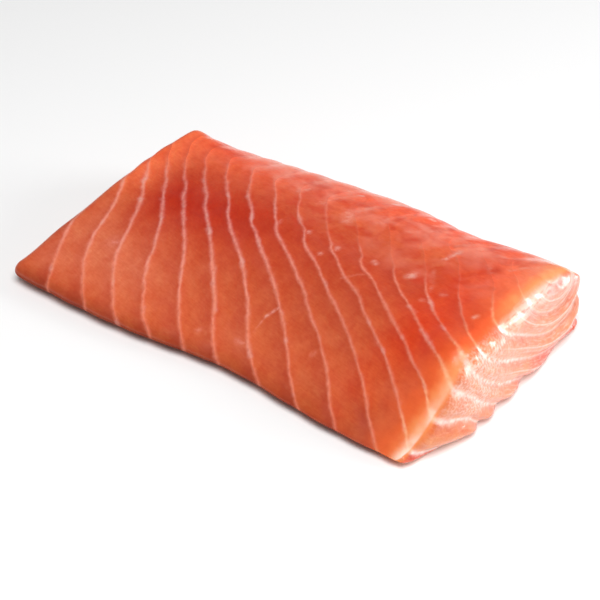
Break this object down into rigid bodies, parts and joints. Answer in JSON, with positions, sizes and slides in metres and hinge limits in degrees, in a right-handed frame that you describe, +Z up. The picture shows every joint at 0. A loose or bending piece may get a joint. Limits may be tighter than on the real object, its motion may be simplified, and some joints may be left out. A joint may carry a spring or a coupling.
{
  "type": "raw salmon fillet",
  "caption": "Thick skinless piece of raw salmon fillet, thin at the belly edge and cut through at both ends, with pale sheets between its muscle blocks.",
  "frame": {"origin": "under the middle of the fillet's box, on the surface it lies on", "axes": "+X along the fish towards the thicker cut end, +Y across it from the thin belly edge to the thick back edge, +Z up from the skin side"},
  "size_m": [0.1674, 0.0948, 0.0319],
  "materials": {
    "flesh": "moist raw salmon flesh, orange pink with thin pale lines, soft gloss"
  },
  "bodies": {
    "root": {"fillet": "flesh"}
  },
  "joints": []
}
